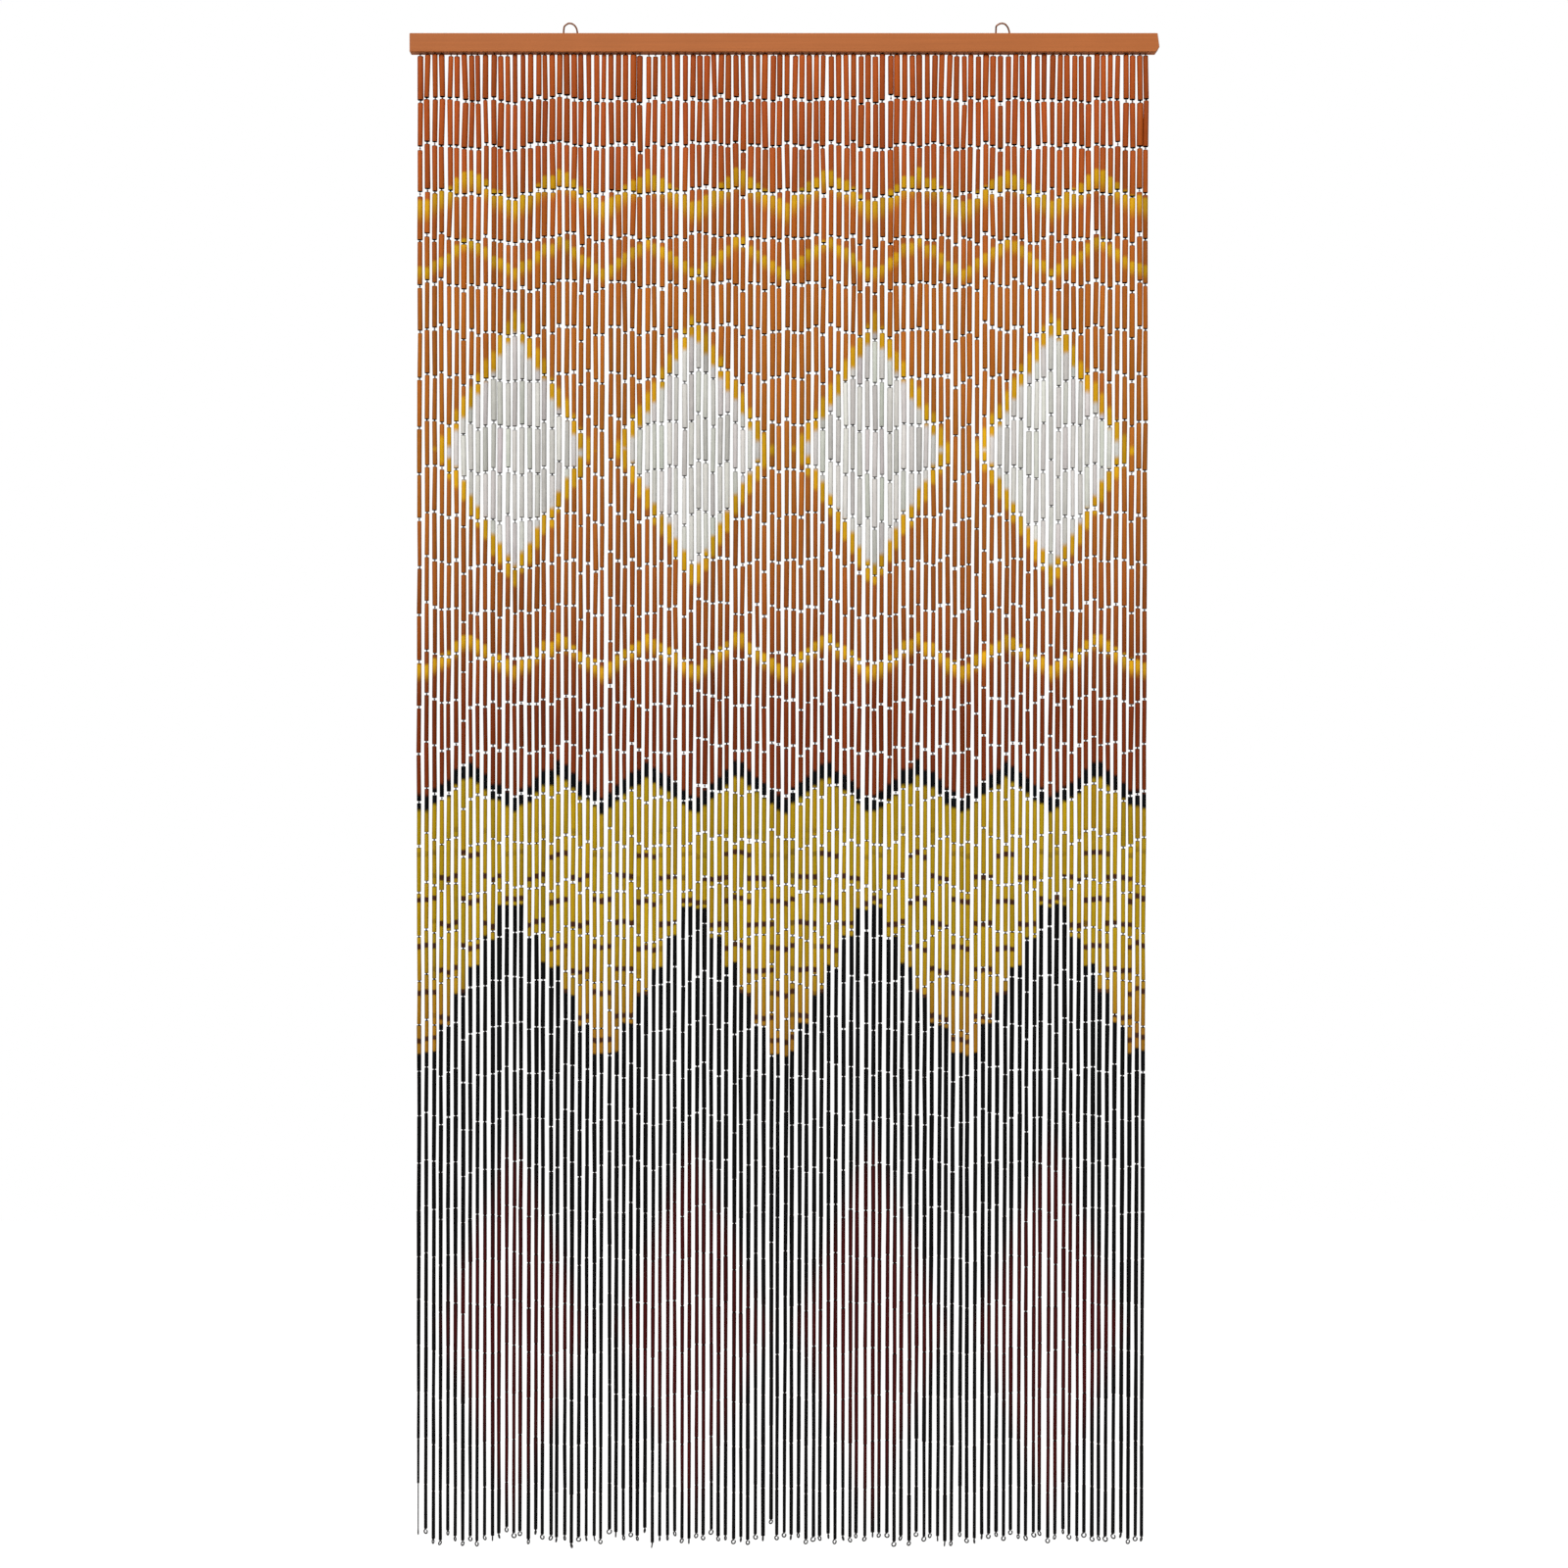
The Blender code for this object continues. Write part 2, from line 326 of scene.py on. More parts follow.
@dataclass(frozen=True)
class Canvas:
    """The graph that a design is painted in, with the place across and the depth as linked outputs."""

    graph: Graph
    across: Socket
    depth: Socket

    def wave(self, half: float) -> Socket:
        """A triangle wave of the place across, half at the curtain's middle and nought a half beside it."""
        moved = self.graph.add("Math", self.across, half, operation="ADD")
        return self.graph.add("Math", moved, half, operation="PINGPONG")

    def below(self, half: float, swing: float, start: float) -> Socket:
        """How far a point lies below a zigzag line, as its depth less the line's.

        Args:
            half: Half of the zigzag's period.
            swing: How far the line goes down and up.
            start: Depth of the line's upper points.

        Returns:
            The distance's socket, negative above the line.
        """
        line = self.graph.add("Math", self.wave(half), swing / half, start, operation="MULTIPLY_ADD")
        return self.graph.add("Math", self.depth, line, operation="SUBTRACT")

    def lozenge(self, half: float, depth: float, half_size: tuple[float, float]) -> Socket:
        """A row of lozenges, as |across| / half width + |down| / half height, which is one at their edges.

        Args:
            half: Half of the distance between two of them.
            depth: Depth of their middles.
            half_size: Half of their width, and half of their height.

        Returns:
            The sum's socket.
        """
        add = self.graph.add
        reach = add("Math", self.wave(half), half_size[0], operation="DIVIDE")
        down = add("Math", add("Math", self.depth, depth, operation="SUBTRACT"), operation="ABSOLUTE")
        return add("Math", reach, add("Math", down, half_size[1], operation="DIVIDE"), operation="ADD")


@dataclass(frozen=True)
class BandDesign:
    """The painted design: a shaded ground with zigzags, lozenges, dashes and a stepped border, airbrushed.

    Every motif is a plain figure worked out from the strand's place across the curtain and the depth below
    the rail, so a tube's colour changes along its length and never across it.
    """

    # Sprayed paint has soft edges, so each motif is laid on by soft steps. A pair of numbers for a step
    # runs from where the motif is off to where it is full. The droplets are finer than the picture shows,
    # so the edges are broken up by a grain of 5.6 mm instead, which moves them by up to 2.2 mm.
    rail_bottom: float
    ground: tuple[Ombre, ...] = (
        Ombre(0.00, Paint.BRICK),
        Ombre(0.12, Paint.BRICK),
        Ombre(0.34, Paint.AMBER),
        Ombre(0.54, Paint.TAN),
        Ombre(0.74, Paint.RUST),
        Ombre(0.88, Paint.RUSSET),
        Ombre(1.10, Paint.RUSSET),
        Ombre(1.36, Paint.SOOT),
        Ombre(2.00, Paint.SOOT),
    )
    repeat: float = 0.240
    lozenge_depth: float = 0.530
    lozenge_half: tuple[float, float] = (0.108, 0.185)
    lozenge_rim: float = 0.15
    lozenge_soft: float = 0.025
    zigzags: tuple[Zigzag, ...] = (
        Zigzag(0.155, 0.045, 0.016),
        Zigzag(0.245, 0.045, 0.010),
        Zigzag(0.775, 0.045, 0.012),
    )
    line_top: tuple[float, float] = (-3 * MM, 2 * MM)
    line_fade: tuple[float, float] = (2.2, 0.6)
    olive_edge: Zigzag = Zigzag(0.955, 0.050, 0.011)
    olive_top: tuple[float, float] = (-1 * MM, 3 * MM)
    olive_fade: tuple[float, float] = (1.16, 1.32)
    edge_soft: tuple[float, float] = (1.3, 0.7)
    dash_row: float = 0.031
    dash_half: float = 0.030
    dash_height: tuple[float, float] = (0.16, 0.07)
    dash_length: tuple[float, float] = (0.62, 0.50)
    dash_start: tuple[float, float] = (0.045, 0.110)
    border_top: float = 1.10
    border_drop: float = 0.235
    border_steps: float = 6.0
    border_soft: tuple[float, float] = (-2 * MM, 2 * MM)
    low_depth: float = 1.700
    low_half: tuple[float, float] = (0.100, 0.250)
    low_fade: tuple[float, float] = (1.15, 0.75)
    spray: float = 2.2 * MM
    spray_grain: float = 5.556 * MM

    def group(self) -> bpy.types.NodeTree:
        """Build the design as a node group with one colour output.

        Returns:
            The group's tree.
        """
        tree = bpy.data.node_groups.new("curtain_paint", "ShaderNodeTree")
        tree.interface.new_socket("Color", in_out="OUTPUT", socket_type="NodeSocketColor")
        g = Graph(tree)
        place = g.add("TexCoord", out="Object")
        grain = g.add("TexNoise", place, Scale=1 / self.spray_grain, Detail=2.0)
        across = g.add("Attribute", attribute_name="across", out="Fac")
        shift = g.add("Attribute", attribute_name="paint_shift", out="Fac")
        depth = g.add("Math", self.rail_bottom, g.add("SeparateXYZ", place, out="Z"), operation="SUBTRACT")
        depth = g.add("Math", g.vary(depth, (grain, 2 * self.spray)), shift, operation="ADD")
        canvas = Canvas(g, across, depth)
        colour = self.ground_colour(canvas)
        for zigzag in self.zigzags:
            colour = self.golden_line(canvas, colour, zigzag)
        for motif in (self.lozenges, self.olive_band, self.border, self.low_lozenges):
            colour = motif(canvas, colour)
        g.add("NodeGroupOutput", colour)
        return tree

    def ground_colour(self, canvas: Canvas) -> Socket:
        """Paint the shaded ground, a ramp over the whole depth.

        Args:
            canvas: Where it is painted.

        Returns:
            The colour.
        """
        g, full = canvas.graph, self.ground[-1].depth
        colour = g.add("ValToRGB", g.add("Math", canvas.depth, full, operation="DIVIDE"))
        stops = colour.node.color_ramp.elements
        for _ in range(len(self.ground) - 2):
            stops.new(0.5)
        for stop, row in zip(stops, self.ground):
            stop.position = row.depth / full
        for stop, row in zip(stops, self.ground):
            stop.color = row.paint.rgba
        return colour

    def golden_line(self, canvas: Canvas, under: Socket, zigzag: Zigzag) -> Socket:
        """Paint one golden zigzag, sharp above and fading out below.

        Args:
            canvas: Where it is painted.
            under: The colour so far.
            zigzag: Its place and size.

        Returns:
            The colour with the zigzag on it.
        """
        g, below = canvas.graph, canvas.below(self.repeat / 4, zigzag.swing, zigzag.depth)
        widths = (zigzag.width * share for share in self.line_fade)
        upper = g.add("MapRange", below, *self.line_top, **SOFT_STEP)
        lower = g.add("MapRange", below, *widths, **SOFT_STEP)
        mask = g.add("Math", upper, lower, operation="MULTIPLY")
        return g.add("Mix", mask, under, Paint.GOLD.rgba, **BLEND)

    def lozenges(self, canvas: Canvas, under: Socket) -> Socket:
        """Paint the row of large grey lozenges with golden rims.

        Args:
            canvas: Where they are painted.
            under: The colour so far.

        Returns:
            The colour with the lozenges on it.
        """
        g, figure = canvas.graph, canvas.lozenge(self.repeat / 2, self.lozenge_depth, self.lozenge_half)
        soft = self.lozenge_soft
        for edge, paint in ((1.0, Paint.GOLD), (1.0 - self.lozenge_rim, Paint.GREY)):
            mask = g.add("MapRange", figure, edge + soft, edge - soft, **SOFT_STEP)
            under = g.add("Mix", mask, under, paint.rgba, **BLEND)
        return under

    def olive_band(self, canvas: Canvas, under: Socket) -> Socket:
        """Paint the olive band under a dark zigzag line, with alternate rows of short dark dashes.

        Args:
            canvas: Where it is painted.
            under: The colour so far.

        Returns:
            The colour with the band on it.
        """
        g, edge = canvas.graph, self.olive_edge
        below = canvas.below(self.repeat / 4, edge.swing, edge.depth)
        fade = g.add("MapRange", canvas.depth, *self.olive_fade, **SOFT_STEP)
        band = g.add("Mix", fade, Paint.OLIVE.rgba, Paint.OCHRE.rgba, **BLEND)

        # A dash stands in the middle of its row, and every other row is moved over by half a repeat
        rows = g.add("Math", canvas.depth, self.dash_row, operation="DIVIDE")
        odd = g.add("Math", g.add("Math", rows, operation="FLOOR"), 2.0, operation="MODULO")
        middle = g.add("Math", g.add("Math", rows, operation="FRACT"), 0.5, operation="SUBTRACT")
        away = g.add("Math", middle, operation="ABSOLUTE")
        beside = g.add("Math", odd, self.dash_half, canvas.across, operation="MULTIPLY_ADD")
        swung = g.add("Math", beside, self.dash_half, operation="PINGPONG")
        reach = g.add("Math", swung, self.dash_half, operation="DIVIDE")
        dash = 1.0
        limits = (self.dash_height, self.dash_length, self.dash_start)
        for value, pair in zip((away, reach, below), limits):
            part = g.add("MapRange", value, *pair, **SOFT_STEP)
            dash = g.add("Math", dash, part, operation="MULTIPLY")
        band = g.add("Mix", dash, band, Paint.UMBER.rgba, **BLEND)

        colour = g.add("Mix", g.add("MapRange", below, *self.olive_top, **SOFT_STEP), under, band, **BLEND)
        near = g.add("Math", below, operation="ABSOLUTE")
        widths = (edge.width * share for share in self.edge_soft)
        line = g.add("MapRange", near, *widths, **SOFT_STEP)
        return g.add("Mix", line, colour, Paint.SOOT.rgba, **BLEND)

    def border(self, canvas: Canvas, under: Socket) -> Socket:
        """Paint the black border, whose upper edge climbs in steps to a point in every repeat.

        Args:
            canvas: Where it is painted.
            under: The colour so far.

        Returns:
            The colour with the border on it.
        """
        g, half = canvas.graph, self.repeat / 2
        climb = g.add("Math", canvas.wave(half), half / self.border_steps, operation="DIVIDE")
        step = g.add("Math", g.add("Math", climb, operation="CEIL"), self.border_steps, operation="DIVIDE")
        edge = g.add("Math", step, self.border_drop, self.border_top, operation="MULTIPLY_ADD")
        below = g.add("Math", canvas.depth, edge, operation="SUBTRACT")
        mask = g.add("MapRange", below, *self.border_soft, **SOFT_STEP)
        return g.add("Mix", mask, under, Paint.SOOT.rgba, **BLEND)

    def low_lozenges(self, canvas: Canvas, under: Socket) -> Socket:
        """Paint long soft maroon lozenges into the black.

        Args:
            canvas: Where they are painted.
            under: The colour so far.

        Returns:
            The colour with the lozenges on it.
        """
        figure = canvas.lozenge(self.repeat / 2, self.low_depth, self.low_half)
        mask = canvas.graph.add("MapRange", figure, *self.low_fade, **SOFT_STEP)
        return canvas.graph.add("Mix", mask, under, Paint.MAROON.rgba, **BLEND)


@dataclass(frozen=True)
class PaintedBamboo:
    """Thin bamboo cane, sawn, dyed and sprayed in bands."""

    # Dye and a thin spray leave the cane satin, with streaks along its fibres and cloudy patches where it
    # took up more. The saw-cut ends and the bores are near black, partly the raw end wood's own darker colour
    # and partly painted shade inside the bore. Its fibres lie about 0.1 mm apart, too fine to show in the
    # picture, so the streaks are drawn 0.45 mm apart.
    fibre: float = 0.45 * MM
    fibre_run: float = 14 * MM
    blotch: float = 14.286 * MM
    streaking: float = 0.50
    clouding: float = 0.24
    tone: float = 0.16
    warmth: float = 0.045
    end_and_bore_edge: tuple[float, float] = (0.12, 0.55)
    roughness: float = 0.60
    fibre_roughness: float = 0.22
    cut_roughness: float = 0.4
    gloss: float = 0.08
    relief: float = 0.12 * MM
    relief_strength: float = 0.35

    def build(self, paint: bpy.types.NodeTree) -> bpy.types.Material:
        """Build the material.

        Args:
            paint: The node group with the painted design.

        Returns:
            The material.
        """
        material, g, place = new_material("painted_bamboo")
        names = ("tone", "warmth", "cut_end_and_bore_shade")
        tone, warmth, end_and_bore = (g.add("Attribute", attribute_name=name, out="Fac") for name in names)
        cut = g.add("MapRange", end_and_bore, *self.end_and_bore_edge, **SOFT_STEP)
        streaked = g.add("Mapping", place, Scale=(1 / self.fibre, 1 / self.fibre, 1 / self.fibre_run))
        fibres = g.add("TexNoise", streaked, Scale=1.0, Detail=3.0, Roughness=0.6)
        blotch = g.add("TexNoise", place, Scale=1 / self.blotch, Detail=2.0)
        light = g.add("Math", tone, self.tone, 1.0, operation="MULTIPLY_ADD")
        light = g.vary(light, (fibres, self.streaking), (blotch, self.clouding))
        green = g.add("Math", warmth, self.warmth, light, operation="MULTIPLY_ADD")
        shade = g.add("CombineColor", light, green, light)
        painted = g.add("Mix", 1.0, g.add("Group", node_tree=paint), shade, **TINT)
        # Painted shade: the saw-cut ends and the bores are laid near black, partly for the raw wood and
        # partly for shade in the bore
        colour = g.add("Mix", cut, painted, Paint.CUT_END_AND_BORE_SHADE.rgba, **BLEND)
        dull = g.add("Math", cut, self.cut_roughness, self.roughness, operation="MULTIPLY_ADD")
        rough = g.vary(dull, (fibres, self.fibre_roughness))
        bump = g.add("Bump", Strength=self.relief_strength, Distance=self.relief, Height=fibres)
        finish = {"Roughness": rough, "Normal": bump, "IOR": 1.5, "Specular_IOR_Level": self.gloss}
        g.add("OutputMaterial", g.add("BsdfPrincipled", Base_Color=colour, **finish))
        return material


@dataclass(frozen=True)
class PaintedWire:
    """Drawn steel wire, dulled by oxide, with paint on it where the spray has reached it."""

    # Drawing leaves the wire smooth, oxide makes it dark and dull in spots, and the paint on it is broken.
    # The spots are a few tenths of a millimetre wide, and are drawn at 2.4 mm to show.
    name: str
    steel: Paint
    oxide: Paint
    coat: Paint | None = None
    overspray: float = 0.95
    metallic: float = 0.9
    roughness: float = 0.43
    patch_roughness: float = 0.3
    patch: float = 2.381 * MM
    oxide_patch: tuple[float, float] = (0.38, 0.66)
    paint_patch: tuple[float, float] = (0.68, 0.46)

    def build(self, paint: bpy.types.NodeTree) -> bpy.types.Material:
        """Build the material.

        Args:
            paint: The node group with the painted design, which the wire shows unless it has its own coat.

        Returns:
            The material.
        """
        material, g, place = new_material(self.name)
        design = self.coat.rgba if self.coat else g.add("Group", node_tree=paint)
        bare = g.add("Attribute", attribute_name="bare", out="Fac")
        patch = g.add("TexNoise", place, Scale=1 / self.patch, Detail=3.0)
        oxide = g.add("MapRange", patch, *self.oxide_patch, **SOFT_STEP)
        metal = g.add("Mix", oxide, self.steel.rgba, self.oxide.rgba, **BLEND)
        covered = g.add("Math", bare, -self.overspray, self.overspray, operation="MULTIPLY_ADD")
        sprayed = g.add("MapRange", patch, *self.paint_patch, **SOFT_STEP)
        reach = g.add("Math", sprayed, covered, operation="MULTIPLY")
        colour = g.add("Mix", reach, metal, design, **BLEND)
        metallic = g.add("Math", reach, -self.metallic, self.metallic, operation="MULTIPLY_ADD")
        rough = g.vary(self.roughness, (patch, self.patch_roughness))
        finish = {"Metallic": metallic, "Roughness": rough}
        g.add("OutputMaterial", g.add("BsdfPrincipled", Base_Color=colour, **finish))
        return material


@dataclass(frozen=True)
class PaintedWood:
    """A planed softwood batten under one coat of satin paint."""

    # The brushed coat is thin, so it looks even from afar, and slightly cloudy with faint grain from near.
    # Brush marks are about 0.3 mm apart, too fine to show, so their relief is drawn at 1.1 mm.
    grain: float = 2.2 * MM
    grain_run: float = 160 * MM
    cloud: float = 71.43 * MM
    brushed: float = 1.111 * MM
    grain_shade: float = 0.26
    clouding: float = 0.14
    roughness: float = 0.44
    grain_roughness: float = 0.2
    gloss: float = 0.15
    relief: float = 0.25 * MM
    relief_strength: float = 0.3
    relief_shares: tuple[float, float] = (0.7, 0.3)

    def build(self) -> bpy.types.Material:
        """Build the material.

        Returns:
            The material.
        """
        material, g, place = new_material("painted_wood")
        stretched = g.add("Mapping", place, Scale=(1 / self.grain_run, 1 / self.grain, 1 / self.grain))
        grain = g.add("TexNoise", stretched, Scale=1.0, Detail=4.0, Roughness=0.55, Distortion=0.4)
        cloud = g.add("TexNoise", place, Scale=1 / self.cloud, Detail=2.0)
        brushed = g.add("TexNoise", place, Scale=1 / self.brushed, Detail=1.0)
        light = g.vary(1.0, (grain, self.grain_shade), (cloud, self.clouding))
        shade = g.add("CombineColor", light, light, light)
        colour = g.add("Mix", 1.0, Paint.RAIL.rgba, shade, **TINT)
        height = g.vary(0.5, *zip((grain, brushed), self.relief_shares))
        bump = g.add("Bump", Strength=self.relief_strength, Distance=self.relief, Height=height)
        rough = g.vary(self.roughness, (grain, self.grain_roughness))
        finish = {"Roughness": rough, "Normal": bump, "IOR": 1.5, "Specular_IOR_Level": self.gloss}
        g.add("OutputMaterial", g.add("BsdfPrincipled", Base_Color=colour, **finish))
        return material


@dataclass
class Hang:
    """Where the strands hang, in the same row, drift and sway as their solids."""

    rail_bottom: float
    # The row of roots, and how each strand leans, sways and spreads about its place in it
    count: int = 100
    pitch: float = 0.009815
    row_centre: float = -0.0010
    drift: tuple[float, float] = (-0.0046, 0.0005)
    drift_per_metre: float = -0.0045
    sway: float = 0.00036
    root_spread: float = 0.0004
    side_room: float = 0.0005
    passes: int = 60
    # How far below the rail the first tube starts, how far down the feet lie, and the one short strand
    neck: tuple[float, float] = (0.0032, 0.0019)
    foot_depth: float = 1.9870
    foot_spread: float = 0.0052
    foot_reach: float = 0.0110
    short_strand: tuple[int, float] = (48, 0.0210)
    # The levels of the solids' rods below the rail, and the rods' widths there
    depths: tuple[float, ...] = (0.0, 0.300, 0.800, 1.350, 1.960)
    widths: tuple[float, ...] = (0.0072, 0.0065, 0.0055, 0.0049, 0.0041)
    seed: int = 100

    def __post_init__(self) -> None:
        """Draw the same random numbers, in the same order, as the strands' solids do."""
        rng = np.random.default_rng(self.seed)
        share = np.array(self.depths) / self.foot_depth
        self.row = self.row_centre + self.pitch * (np.arange(self.count) - (self.count - 1) / 2)
        drift = rng.normal(*self.drift, self.count) + self.drift_per_metre * self.row
        root = rng.normal(0.0, self.root_spread, self.count)
        sway = rng.normal(0.0, self.sway, (2, self.count, len(self.depths)))
        self.xs = self.row[:, None] + root[:, None] + drift[:, None] * share + sway[0]
        self.ys = sway[1] * share
        self.keep_apart(self.xs, np.array(self.widths) + self.side_room)
        spread = np.clip(rng.normal(0.0, self.foot_spread, self.count), -self.foot_reach, self.foot_reach)
        self.feet = self.foot_depth + spread
        self.feet[self.short_strand[0]] = self.foot_depth - self.short_strand[1]
        self.necks = self.neck[0] + rng.uniform(-1.0, 1.0, self.count) * self.neck[1]
        turns = rng.uniform(-math.pi / 4, math.pi / 4, self.count)
        self.turns = turns + np.where(rng.random(self.count) < 0.5, math.pi / 2, 0.0)

    def keep_apart(self, across: np.ndarray, room: np.ndarray) -> None:
        """Push neighbouring strands apart, half each and in several passes, until they clear each other.

        Args:
            across: X of points on the strands, strands by places, changed in place.
            room: The least distance between two neighbours.
        """
        for _ in range(self.passes):
            short = np.clip(room - np.diff(across, axis=0), 0.0, None) / 2
            across[:-1] -= short
            across[1:] += short

    def at(self, depth: np.ndarray) -> np.ndarray:
        """Points on the strands' lines.

        Args:
            depth: Depths below the rail, strands by places.

        Returns:
            Points, strands by places by 3. Between two of the solids' levels a line is straight.
        """
        levels = np.array(self.depths)
        low = np.clip(np.searchsorted(levels, depth) - 1, 0, len(levels) - 2)
        part = (depth - levels[low]) / (levels[low + 1] - levels[low])
        strand = np.arange(self.count)[:, None]
        x, y = (v[strand, low] * (1 - part) + v[strand, low + 1] * part for v in (self.xs, self.ys))
        return np.stack([x, y, self.rail_bottom - depth], axis=-1)


@dataclass
class Tubes:
    """The bamboo tubes: 32 on each strand, sawn to about one length and a little uneven."""

    hang: Hang
    per_strand: int = 32
    length_spread: float = 0.037
    # The gap above a tube, by the tube's depth, and the room for the ring below the lowest tube
    gap_depths: tuple[float, ...] = (0.0, 0.45, 0.95, 1.25, 1.6, 2.0)
    gaps: tuple[float, ...] = (0.0036, 0.0029, 0.0024, 0.0016, 0.0008, 0.0006)
    gap_spread: float = 0.28
    ring_room: float = 0.0074
    # Widths by depth, and how far single tubes and whole strands spread about them
    width_depths: tuple[float, ...] = (0.0, 0.2, 0.4, 0.6, 0.85, 1.1, 1.35, 1.7, 1.95)
    widths: tuple[float, ...] = (0.0075, 0.0072, 0.0067, 0.0064, 0.0062, 0.0060, 0.0058, 0.0053, 0.0047)
    spread_depths: tuple[float, float] = (0.2, 1.6)
    tube_spread: tuple[float, float] = (0.055, 0.030)
    strand_spread: float = 0.038
    # How far the joints stand off their strand's line, and the free room between strands, both by depth
    jitter: tuple[float, float] = (0.00035, 0.00030)
    jitter_depths: tuple[float, ...] = (0.05, 0.3, 1.6)
    jitter_share: tuple[float, ...] = (1.5, 1.0, 0.35)
    room_depths: tuple[float, ...] = (0.0, 0.6, 2.0)
    side_room: tuple[float, ...] = (0.00025, 0.0006, 0.0012)
    slim: tuple[float, float, float] = (0.88, 0.78, 0.70)
    # How far tone and warmth spread, and how far the design slips along a strand and on a tube
    tone_spread: tuple[float, float] = (0.55, 0.35)
    warmth_spread: float = 0.6
    paint_spread: tuple[float, float] = (0.0018, 0.0006)
    # The form of one tube
    bore: float = 0.0014
    bore_share: float = 0.42
    wall: float = 0.00028
    lip: float = 0.0002
    shoulder: float = 0.0010
    rim: float = 0.89
    taper: float = 0.10
    oval: float = 0.035
    sides: int = 10
    cell_shape: float = 3.4
    groups: int = 10
    seed: int = 7

    def __post_init__(self) -> None:
        """Share each strand's length out over its tubes, and set their ends, widths, joints and tones."""
        rng = np.random.default_rng(self.seed)
        size = (self.hang.count, self.per_strand)
        n = self.hang.count
        lengths = 1 + rng.normal(0.0, self.length_spread, size)
        first, last = self.hang.necks[:, None], (self.hang.feet - self.ring_room)[:, None]
        ends = np.cumsum(lengths, axis=1) / lengths.sum(axis=1, keepdims=True)
        self.tops = first + np.concatenate([np.zeros((n, 1)), ends[:, :-1]], axis=1) * (last - first)
        gap = np.exp(rng.normal(0.0, self.gap_spread, size))
        gap *= np.interp(self.tops, self.gap_depths, self.gaps)
        self.bottoms = np.concatenate([self.tops[:, 1:] - gap[:, 1:], last], axis=1)
        self.joints = np.concatenate([first / 2, (self.tops[:, 1:] + self.bottoms[:, :-1]) / 2], axis=1)
        middle = (self.tops + self.bottoms) / 2
        uneven = np.interp(middle, self.spread_depths, self.tube_spread) * rng.normal(0.0, 1.0, size)
        uneven += self.strand_spread * rng.normal(0.0, 1.0, n)[:, None]
        width = np.interp(middle, self.width_depths, self.widths) * (1 + uneven)
        # The leftmost strand is worn, and has slim tubes above the one that it has lost
        width[0, -4:-1] *= self.slim
        self.radius = np.clip(width, 2 * (self.bore + self.wall), None) / 2
        places = self.hang.at(self.joints)
        calm = np.interp(self.joints, self.jitter_depths, self.jitter_share)
        for axis, jitter in enumerate(self.jitter):
            places[..., axis] += calm * rng.normal(0.0, jitter, size)
        free = np.interp(self.joints[:-1], self.room_depths, self.side_room)
        self.hang.keep_apart(places[..., 0], self.radius[:-1] + self.radius[1:] + free)
        self.nodes = np.concatenate([places, self.hang.at(self.hang.feet[:, None])], axis=1)
        tube_tone, strand_tone = self.tone_spread
        self.tone = rng.normal(0.0, tube_tone, size) + rng.normal(0.0, strand_tone, n)[:, None]
        self.warmth = rng.normal(0.0, self.warmth_spread, size)
        strand_shift, tube_shift = self.paint_spread
        self.shift = rng.normal(0.0, strand_shift, n)[:, None] + rng.normal(0.0, tube_shift, size)
        self.shape = rng.uniform(0.0, 1.0, (*size, 3))

    def along(self, depth: np.ndarray) -> np.ndarray:
        """Points at given depths on the straight lines between joints.

        Args:
            depth: Depths below the rail, one for each tube, strands by tubes.

        Returns:
            Points, strands by tubes by 3.
        """
        upper, lower = self.nodes[:, :-1], self.nodes[:, 1:]
        z = self.hang.rail_bottom - depth
        part = (upper[..., 2] - z) / (upper[..., 2] - lower[..., 2])
        point = upper + (lower - upper) * part[..., None]
        point[..., 2] = z
        return point

    def surface(
        self, top: np.ndarray, bottom: np.ndarray, radius: np.ndarray, shape: np.ndarray
    ) -> np.ndarray:
        """Points of many tubes.

        A point is the tube's axis at a share of its length, plus a radius turned about the axis. Rows run
        from the upper bore over the eased rim, down the outside, over the lower rim to the lower bore, and
        the last row joins the first one through the bore, so the surface closes on itself both ways. The
        outside tapers and is slightly oval.

        Args:
            top: Upper ends of the axes, tubes by 3.
            bottom: Lower ends, tubes by 3.
            radius: Outer radii.
            shape: Three numbers from 0 to 1 for each tube, for its taper, turn and ovality.

        Returns:
            Points as tubes by rows by sides by 3.
        """
        length = np.linalg.norm(bottom - top, axis=-1)
        axis = (bottom - top) / length[:, None]
        front = unit(np.cross(axis, np.array([1.0, 0.0, 0.0])))
        side = np.cross(axis, front)
        cut = (self.shoulder / length)[:, None]
        share = np.concatenate([0 * cut, 0 * cut, cut, 1 - cut, 1 + 0 * cut, 1 + 0 * cut], axis=1)
        bore = np.clip(self.bore_share * radius, self.bore, None)[:, None]
        full = radius[:, None] * (1 + self.taper * (shape[:, :1] - 0.5) * (1 - 2 * share))
        rim = np.maximum(self.rim * full, bore + self.lip)
        reach = np.concatenate([bore, rim[:, 1:2], full[:, 2:4], rim[:, 4:5], bore], axis=1)
        turn = 2 * math.pi * (np.arange(self.sides) / self.sides + shape[:, 1:2])
        oval = 1 + self.oval * np.cos(2 * turn + 2 * math.pi * shape[:, 2:3])
        centre = top[:, None] + axis[:, None] * (share * length[:, None])[..., None]
        ring = np.cos(turn)[..., None] * front[:, None] + np.sin(turn)[..., None] * side[:, None]
        return centre[:, :, None] + ring[:, None] * (reach[:, :, None] * oval[:, None])[..., None]

